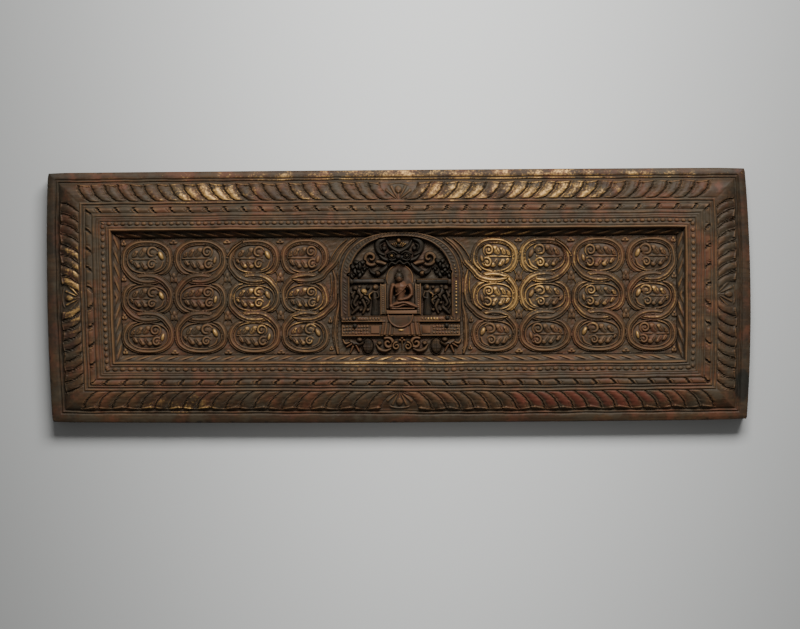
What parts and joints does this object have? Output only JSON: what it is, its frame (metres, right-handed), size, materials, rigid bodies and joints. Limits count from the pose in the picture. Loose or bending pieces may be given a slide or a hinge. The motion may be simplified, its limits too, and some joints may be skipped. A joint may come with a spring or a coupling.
{
  "type": "manuscript cover",
  "caption": "Long carved wooden board that covers a loose-leaf manuscript, with nested frame mouldings and a sunk panel of scrolls around an arched shrine.",
  "frame": {"origin": "centre of the board's box in plan, on the plane of its flat back", "axes": "+X along the board to the viewer's right, +Y to its upper long edge, +Z out of the carved face"},
  "size_m": [0.7036, 0.253, 0.033],
  "materials": {
    "carved_wood": "dark old wood with worn colour and traces of gilding"
  },
  "bodies": {
    "root": {"carved_board": "carved_wood"}
  },
  "joints": []
}
